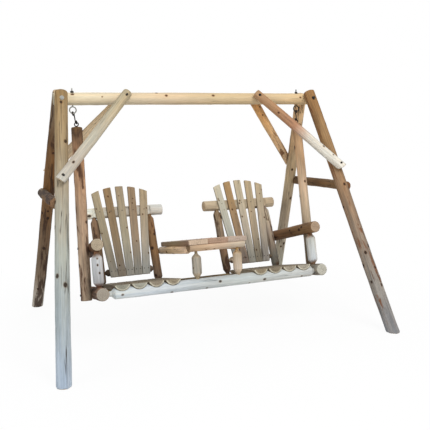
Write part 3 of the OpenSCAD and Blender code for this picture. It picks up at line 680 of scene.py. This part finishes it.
# name: (kind, voxel size, colour stops from low end to high end, wood options, carve options)
PIECES = {
    "leg_front_left": ("leg", 0.0068,
        even((164, 178, 194), (158, 168, 172), (162, 166, 158), (166, 156, 136),
             (158, 138, 106), (148, 122, 82)),
        dict(bark_share=0.12, bark=(96, 72, 52), contrast=0.97, crack=0.75),
        dict(knots=16, taper=0.03)),
    "leg_front_right": ("leg", 0.0068,
        even((124, 126, 130), (138, 132, 124), (140, 122, 104), (144, 116, 88),
             (144, 114, 78), (136, 102, 64)),
        dict(bark=(112, 70, 42), crack=0.7, contrast=1.53),
        dict(knots=14, taper=0.03)),
    "leg_rear_left": ("leg", 0.0068,
        even((198, 190, 178), (122, 104, 84), (110, 88, 66), (128, 92, 54),
             (114, 82, 50), (132, 118, 98)),
        dict(bark_share=0.44, bark=(58, 38, 26), contrast=1.23),
        dict(knots=12, taper=0.03)),
    "leg_rear_right": ("leg", 0.0068,
        even((170, 172, 156), (166, 160, 144), (176, 160, 138), (180, 162, 130),
             (184, 158, 124), (248, 210, 160)),
        dict(bark_share=0.26, bark=(96, 68, 44), crack=0.6, contrast=1.53),
        dict(knots=12, taper=0.03)),
    "header_beam": ("log", 0.0066,
        even((224, 212, 182), (218, 204, 176), (206, 186, 156), (198, 178, 142),
             (202, 180, 144), (214, 188, 146)),
        dict(bark_share=0.03, bark=(190, 150, 104), contrast=0.48, crack=0.45,
             knot=(78, 50, 30), end=(174, 164, 140)),
        dict(knots=14, knot_size=(0.006, 0.012))),
    "cross_rail_left": ("log", 0.0064,
        even((118, 76, 36), (112, 82, 42), (176, 150, 112)),
        dict(bark_share=0.51, bark=(60, 44, 34), weather=(150, 142, 132), weather_share=0.25,
             end=(126, 96, 70), contrast=1.53),
        dict(knots=7, relief=1.6)),
    "cross_rail_right": ("log", 0.0064,
        [(0.0, (128, 102, 70)), (0.4, (116, 88, 56)), (1.0, (110, 86, 60))],
        dict(bark_share=0.28, bark=(58, 38, 24), end=(126, 86, 54), contrast=1.4),
        dict(knots=7, relief=1.5)),
    "knee_brace_front_left": ("log", 0.0062,
        even((190, 188, 178), (186, 176, 162), (180, 176, 160), (180, 172, 152),
             (176, 164, 136), (170, 156, 128)),
        dict(bark_share=0.14, bark=(176, 136, 92), contrast=0.88),
        dict(knots=4, knot_size=(0.007, 0.012))),
    "knee_brace_front_right": ("log", 0.0062,
        [(0.0, (210, 206, 196)), (0.2, (212, 210, 200)), (0.36, (206, 200, 188)),
         (0.46, (190, 164, 144)), (0.54, (166, 124, 96)), (0.8, (166, 128, 94)),
         (1.0, (170, 136, 102))],
        dict(bark_share=0.1, bark=(150, 104, 66), contrast=0.92),
        dict(knots=3, knot_size=(0.006, 0.01), taper=0.08)),
    "knee_brace_rear_left": ("log", 0.0064,
        even((202, 182, 154), (200, 178, 146), (216, 196, 162)),
        dict(bark_share=0.22, bark=(130, 82, 46), contrast=1.38),
        dict(knots=3, knot_size=(0.007, 0.012))),
    "knee_brace_rear_right": ("log", 0.0064,
        even((218, 186, 146), (224, 192, 152), (226, 188, 142), (222, 182, 132),
             (212, 164, 108), (210, 156, 96)),
        dict(bark_share=0.36, bark=(104, 62, 30), contrast=1.4),
        dict(knots=3, knot_size=(0.007, 0.012), taper=-0.1)),
    "hanger_post_left": ("log", 0.0062,
        [(0.0, (138, 122, 104)), (0.2, (166, 144, 122)), (0.5, (168, 142, 118)),
         (0.78, (186, 146, 112)), (0.95, (84, 64, 46)), (1.0, (106, 80, 52))],
        dict(bark_share=0.36, bark=(72, 44, 30), end=(150, 112, 80), contrast=1.53),
        dict(knots=8, relief=1.2)),
    "hanger_post_right": ("log", 0.0062,
        even((118, 96, 70), (134, 120, 102), (170, 154, 132), (202, 176, 148),
             (188, 156, 122), (132, 102, 68)),
        dict(bark_share=0.18, bark=(150, 104, 64), contrast=1.22),
        dict(knots=8)),
    "side_rail_left": ("log", 0.0062,
        [(0.0, (148, 118, 96)), (0.4, (96, 68, 48)), (1.0, (108, 78, 64))],
        dict(bark_share=0.41, bark=(60, 42, 30), end=(162, 152, 138), contrast=1.53),
        dict(relief=1.3)),
    "side_rail_right": ("log", 0.0062,
        [(0.0, (138, 134, 124)), (0.4, (116, 100, 76)), (1.0, (94, 76, 56))],
        dict(bark_share=0.31, bark=(88, 62, 42), end=(188, 184, 170), contrast=1.53),
        {}),
    "armrest_left": ("log", 0.0060,
        even((86, 56, 30), (72, 42, 18), (66, 36, 18)),
        dict(bark=(60, 36, 24), end=(178, 162, 138), contrast=1.28),
        dict(relief=1.3)),
    "armrest_right": ("log", 0.0060,
        [(0.0, (126, 98, 68)), (0.4, (122, 92, 60)), (1.0, (118, 86, 60))],
        dict(bark_share=0.28, bark=(58, 34, 22), end=(170, 146, 122), contrast=1.4),
        dict(relief=1.3)),
    "arm_post_left": ("log", 0.0052,
        [(0.0, (100, 66, 46)), (0.13, (114, 80, 62)), (0.22, (170, 170, 172)),
         (0.8, (196, 198, 200)), (0.88, (152, 112, 82)), (1.0, (108, 68, 46))],
        dict(bark_share=0.08, contrast=0.76, crack=0.3),
        dict(knots=1, placed_knots=[(0.44, 8, 0.008), (0.62, -6, 0.008)])),
    "arm_post_right": ("log", 0.0052,
        [(0.0, (120, 84, 58)), (0.14, (154, 122, 96)), (0.24, (204, 210, 214)),
         (0.8, (192, 192, 184)), (0.9, (154, 110, 74)), (1.0, (118, 80, 54))],
        dict(bark_share=0.09, contrast=0.76, crack=0.3),
        dict(knots=2)),
    "front_rail": ("log", 0.0060,
        even((198, 206, 206), (202, 210, 216), (180, 188, 192), (182, 190, 190),
             (194, 198, 196), (184, 186, 184)),
        dict(bark_share=0.1, bark=(150, 118, 88), contrast=0.76, crack=0.35,
             knot=(40, 36, 34)),
        dict(knots=0, placed_knots=[
            (0.075, 6, 0.009), (0.287, 46, 0.010), (0.445, 44, 0.009), (0.506, -16, 0.011),
            (0.647, 44, 0.007), (0.72, 18, 0.011), (0.91, 36, 0.009)])),
    "rear_rail": ("log", 0.0064,
        even((132, 118, 90), (128, 116, 86)),
        dict(bark_share=0.35, bark=(70, 50, 36), contrast=0.88),
        dict(knots=8)),
    "back_post_left_outer": ("log", 0.0056,
        even((80, 62, 48), (112, 88, 64), (130, 106, 84)),
        dict(bark_share=0.39, bark=(58, 38, 26), contrast=1.48), {}),
    "back_post_left_inner": ("log", 0.0056,
        even((116, 98, 82), (128, 106, 86), (130, 100, 68), (124, 96, 66),
             (136, 104, 72), (120, 94, 68)),
        dict(bark_share=0.29, bark=(78, 46, 28), contrast=1.16), {}),
    "back_post_right_inner": ("log", 0.0056,
        even((104, 88, 72), (108, 92, 72), (122, 98, 76), (122, 108, 92),
             (142, 124, 100), (134, 112, 86)),
        dict(bark_share=0.41, bark=(56, 34, 22), contrast=1.53), {}),
    "back_post_right_outer": ("log", 0.0056,
        even((102, 100, 90), (112, 110, 102), (150, 136, 120), (162, 148, 134),
             (186, 176, 154), (180, 168, 156)),
        dict(bark_share=0.29, bark=(92, 66, 46), contrast=1.19), {}),
    "upper_back_rail_left": ("log", 0.0058,
        [(0.0, (238, 244, 234)), (0.35, (182, 174, 160)), (1.0, (210, 210, 204))],
        dict(bark_share=0.12, bark=(140, 104, 72), contrast=0.66), {}),
    "upper_back_rail_right": ("log", 0.0058,
        [(0.0, (186, 172, 148)), (0.6, (182, 168, 144)), (1.0, (200, 182, 154))],
        dict(bark_share=0.14, bark=(140, 96, 60), contrast=0.7), {}),
    "lower_back_rail_left": ("log", 0.0056,
        even((56, 44, 32), (124, 108, 94)),
        dict(bark_share=0.4, bark=(56, 40, 30), contrast=0.88),
        dict(knots=4)),
    "lower_back_rail_right": ("log", 0.0056,
        even((166, 152, 134), (170, 158, 134)),
        dict(bark_share=0.4, bark=(60, 42, 32), contrast=0.88),
        dict(knots=4)),
    "table_front_apron": ("half", 0.0056,
        even((178, 152, 126), (192, 164, 134), (196, 170, 144), (192, 168, 144),
             (194, 178, 158), (198, 186, 166)),
        dict(bark_share=0.09, bark=(150, 96, 58), contrast=0.87, knot=(60, 36, 22),
             end=(146, 118, 88)),
        dict(knots=4, knot_size=(0.006, 0.01))),
    "table_side_rail_left": ("log", 0.0056,
        [(0.0, (230, 200, 170)), (0.6, (220, 192, 152)), (1.0, (190, 178, 162))],
        dict(bark_share=0.28, bark=(112, 72, 42), end=(170, 136, 98), contrast=1.53), {}),
    "table_side_rail_right": ("log", 0.0056,
        even((168, 130, 88), (172, 138, 98)),
        dict(bark_share=0.25, bark=(108, 70, 42)), {}),
    "table_rear_batten": ("log", 0.0060,
        even((160, 128, 92), (160, 128, 92)),
        dict(bark_share=0.2),
        dict(knots=3)),
    "table_leg_left": ("log", 0.0050,
        [(0.0, (184, 162, 124)), (0.22, (164, 148, 122)), (0.35, (160, 154, 142)),
         (0.75, (152, 146, 134)), (0.9, (140, 124, 98)), (1.0, (162, 136, 98))],
        dict(bark_share=0.11, contrast=1.15),
        dict(knots=2, knot_size=(0.005, 0.008))),
    "table_leg_right": ("log", 0.0050,
        [(0.0, (194, 164, 120)), (0.3, (198, 182, 164)), (0.72, (180, 162, 138)),
         (0.9, (182, 144, 92)), (1.0, (190, 152, 102))],
        dict(bark_share=0.11, contrast=1.15),
        dict(knots=2, knot_size=(0.005, 0.008))),
    "table_board_left": ("board", 0.0058,
        even((136, 106, 86), (152, 130, 96), (154, 140, 120)),
        dict(bark_share=0.06, bark=(128, 84, 56), contrast=1.05, end=(198, 174, 150),
             weather=(160, 152, 140), weather_share=0.4),
        dict(knots=3, knot_size=(0.007, 0.012))),
    "table_board_middle": ("board", 0.0058,
        even((190, 148, 122), (176, 138, 112)),
        dict(bark_share=0.05, bark=(128, 80, 56), contrast=0.9, end=(168, 138, 116),
             weather=(160, 148, 134), weather_share=0.3),
        dict(knots=3, knot_size=(0.007, 0.012))),
    "table_board_right": ("board", 0.0058,
        even((208, 178, 154), (190, 158, 132)),
        dict(bark_share=0.05, bark=(128, 80, 56), contrast=0.9, end=(180, 160, 144),
             weather=(168, 156, 142), weather_share=0.3),
        dict(knots=3, knot_size=(0.007, 0.012))),
}

# Back slats: tones at the low end, the middle and the high end
BACK_SLATS = {
    "left_1": ((134, 130, 120), (144, 136, 116), (168, 154, 126)),
    "left_2": ((124, 116, 104), (134, 118, 94), (140, 116, 84)),
    "left_3": ((146, 144, 136), (164, 156, 134), (152, 136, 112)),
    "left_4": ((134, 134, 128), (152, 134, 112), (146, 124, 98)),
    "left_5": ((150, 152, 148), (166, 156, 140), (174, 154, 122)),
    "right_1": ((124, 120, 114), (172, 176, 168), (184, 178, 158)),
    "right_2": ((116, 105, 96), (144, 122, 96), (164, 136, 96)),
    "right_3": ((142, 142, 134), (170, 162, 148), (198, 186, 158)),
    "right_4": ((126, 120, 106), (162, 148, 126), (186, 168, 136)),
    "right_5": ((142, 138, 132), (174, 162, 144), (182, 168, 140)),
}
for name, (low, middle, high) in BACK_SLATS.items():
    between = tuple((a + b) // 2 for a, b in zip(low, middle))
    PIECES["back_slat_" + name] = (
        "board", 0.0044,
        [(0.0, low), (0.10, low), (0.24, between), (0.42, middle), (1.0, high)],
        dict(bark_share=0.06, bark=(98, 70, 48), contrast=0.95, crack=0.45,
             end=(150, 128, 100), knot=(60, 38, 24), weather=(140, 138, 130)),
        dict(knots=3, knot_size=(0.004, 0.009)))

for index, (name, piece) in enumerate(PIECES.items()):
    kind, voxel, stops, wood_options, carve_options = piece
    material = wood("wood_" + name, stops, **wood_options)
    is_small = kind == "log" and name.startswith(SMALL_LOGS)
    carve(name + "_wood", name, cad_parts(name)[0], kind, voxel, 100 + index * 7, material,
          bend=SMALL_LOG_BEND if is_small else BEND[kind], **carve_options)

# Half-log seat slats, several solids to a CAD node: (surface tone, end tone) by rising x
SEAT_TONES = {
    "left": [((122, 110, 94), (146, 144, 130)), ((118, 104, 84), (160, 158, 144)),
             ((126, 112, 90), (142, 130, 112)), ((118, 104, 82), (150, 138, 116))],
    "right": [((136, 124, 104), (142, 128, 104)), ((124, 112, 92), (130, 118, 98)),
              ((130, 116, 94), (158, 148, 130)), ((122, 108, 86), (162, 154, 138))],
}
SEAT_FIRST_SEED = {"left": 700, "right": 750}


def seat_slats(side):
    node = "seat_slats_" + side
    # Solids of 12 points or fewer are left out.
    parts = [part for part in cad_parts(node) if len(part[0]) > 12]
    for k, part in enumerate(parts):
        tone, end = SEAT_TONES[side][k % 4]
        darker = tuple(int(channel * 0.92) for channel in tone)
        material = wood(f"wood_{node}_{k + 1}", even(tone, darker), bark_share=0.15,
                        bark=(84, 60, 42), end=end, rim=(206, 200, 180),
                        weather=(146, 138, 122), weather_share=0.35, crack=0.6)
        carve(f"seat_slat_{side}_{k + 1}_wood", node, part, "half", 0.0060,
              SEAT_FIRST_SEED[side] + 11 * k, material, bend=BEND["half"], knots=3)


for side in SEAT_TONES:
    seat_slats(side)


# ------------------------------------------------------------------ hardware
def steel(name, base, rust, metallic, roughness, rust_share, dark=None, dark_rear=False):
    """Steel with rust spots; dark is the base tone at x > 0, and at y > 0 if dark_rear."""
    material = bpy.data.materials.new(name)
    g = empty_graph(material)
    place = g.node("ShaderNodeTexCoord").outputs["Object"]
    blotch = g.noise(place, (90, 90, 90), detail=5, roughness=0.6)
    speck = g.noise(place, (420, 420, 420), detail=3, roughness=0.6)
    rusted = g.step(g.add(blotch, g.mul(speck, 0.25)),
                    0.80 - rust_share * 0.35, 0.92 - rust_share * 0.35)
    tone = g.mix(speck, srgb(*[channel * 0.8 for channel in base]), srgb(*base))
    if dark:
        x, y, _ = g.fill(g.node("ShaderNodeSeparateXYZ"), {0: place}).outputs
        is_dark = g.math("GREATER_THAN", x, 0.0)
        if dark_rear:
            is_dark = g.math("MAXIMUM", is_dark, g.math("GREATER_THAN", y, 0.0))
        tone = g.mix(is_dark, tone, srgb(*dark))
    colour = g.mix(rusted, tone, srgb(*rust))
    shader = g.surface(
        colour, g.step(blotch, 0.3, 0.7, roughness - 0.1, roughness + 0.15, curve="LINEAR"),
        g.add(speck, rusted), bump_strength=0.35, bump_distance=0.0006,
        Metallic=g.mul(g.sub(1.0, rusted), metallic))
    g.output("ShaderNodeOutputMaterial", shader)
    return material


black = steel("steel_black", base=(46, 44, 42), rust=(92, 56, 36), metallic=0.75,
              roughness=0.48, rust_share=0.35)
zinc = steel("steel_zinc", base=(186, 186, 178), rust=(132, 120, 104), metallic=0.55,
             roughness=0.42, rust_share=0.2, dark=(44, 42, 40), dark_rear=True)
ring = steel("steel_ring", base=(176, 176, 168), rust=(120, 110, 96), metallic=0.6,
             roughness=0.42, rust_share=0.25, dark=(40, 38, 36))
screw = steel("steel_screw", base=(70, 66, 62), rust=(84, 54, 38), metallic=0.7,
              roughness=0.55, rust_share=0.45)
HARDWARE = {
    "header_bolts": zinc, "cross_rail_bolts": black, "knee_brace_bolts": black,
    "eye_bolts": ring, "eye_bolt_nuts": black, "s_hook_left": black, "s_hook_right": black,
    "hanger_eyes": black, "bench_frame_bolts": black, "wood_screws": screw,
}
for name, material in HARDWARE.items():
    obj = frame["nodes"][name]
    if not obj.material_slots:
        obj.data.materials.append(material)
    for slot in obj.material_slots:
        slot.material = material

# ------------------------------------------------------------------ stage
WHITE = (1.0, 1.0, 1.0, 1)
FLOOR_RADIUS = 60
FLOOR_DROP = 0.0008           # keeps the floor just under the legs


def floor_material():
    """Grey to light, and near white to the camera, pure white away from the centre."""
    material = bpy.data.materials.new("floor")
    g = empty_graph(material)
    place = g.node("ShaderNodeTexCoord").outputs["Object"]
    length = g.fill(g.node("ShaderNodeVectorMath", operation="LENGTH"), {0: place})
    diffuse = g.fill(g.node("ShaderNodeBsdfDiffuse"), {0: (0.86, 0.86, 0.86, 1)})
    glow = g.fill(g.node("ShaderNodeEmission"), {0: WHITE})
    fade = g.step(length.outputs["Value"], 1.0, 3.4, start=0.92, stop=1.0)
    shader = g.mix_shader(g.mul(fade, g.camera_ray()), diffuse.outputs[0], glow.outputs[0])
    g.output("ShaderNodeOutputMaterial", shader)
    return material


def build_floor():
    bm = bmesh.new()
    bmesh.ops.create_circle(bm, cap_ends=True, segments=96, radius=FLOOR_RADIUS)
    mesh = bpy.data.meshes.new("floor")
    bm.to_mesh(mesh)
    bm.free()
    floor = bpy.data.objects.new("floor", mesh)
    floor.location = (0, 0, -FLOOR_DROP)
    scene.collection.objects.link(floor)
    mesh.materials.append(floor_material())


def build_world():
    """White to the camera, a soft cool sky to everything else."""
    world = scene.world or bpy.data.worlds.new("world")
    scene.world = world
    g = empty_graph(world)
    backdrop = g.fill(g.node("ShaderNodeBackground"), {0: WHITE})
    sky = g.fill(g.node("ShaderNodeBackground"), {0: (0.93, 0.96, 1.0, 1), 1: 0.50})
    shader = g.mix_shader(g.camera_ray(), sky.outputs[0], backdrop.outputs[0])
    g.output("ShaderNodeOutputWorld", shader)


def area_light(name, location, size, power, colour):
    """Disk light aimed at the middle of the bench."""
    light = bpy.data.lights.new(name, "AREA")
    light.shape = "DISK"
    light.size = size
    light.energy = power
    light.color = colour
    obj = bpy.data.objects.new(name, light)
    obj.location = location
    aim = Vector((0, 0, 0.9)) - Vector(location)
    obj.rotation_euler = aim.to_track_quat("-Z", "Y").to_euler()
    scene.collection.objects.link(obj)


build_floor()
build_world()
area_light("key", (1.2, -5.6, 6.4), size=4.5, power=400, colour=(1.0, 0.985, 0.96))
area_light("fill", (-6.5, -3.0, 3.4), size=5.0, power=130, colour=(0.95, 0.98, 1.0))
area_light("back", (0.5, 6.5, 5.0), size=5.0, power=180, colour=(1.0, 1.0, 1.0))


# ------------------------------------------------------------------ camera
def build_camera(location, yaw, pitch, roll, lens):
    """Camera looking along +Y, turned by yaw, pitch and roll in radians."""
    forward = np.array([-math.sin(yaw) * math.cos(pitch), math.cos(yaw) * math.cos(pitch),
                        math.sin(pitch)])
    level = np.array([math.cos(yaw), math.sin(yaw), 0.0])
    upright = np.cross(level, forward)
    pose = np.eye(4)
    pose[:3, 0] = math.cos(roll) * level + math.sin(roll) * upright
    pose[:3, 1] = -math.sin(roll) * level + math.cos(roll) * upright
    pose[:3, 2] = -forward
    pose[:3, 3] = location
    camera = bpy.data.cameras.new("camera")
    camera.sensor_width = 36.0
    camera.lens = lens
    obj = bpy.data.objects.new("camera", camera)
    obj.matrix_world = Matrix(pose.tolist())
    scene.collection.objects.link(obj)
    scene.camera = obj


build_camera(location=(-1.7512, -5.093, 1.6592), yaw=-0.3645, pitch=-0.1295, roll=-0.0244,
             lens=49.9772093)
scene.view_settings.view_transform = "Standard"
scene.view_settings.look = "None"
scene.view_settings.exposure = 0.0
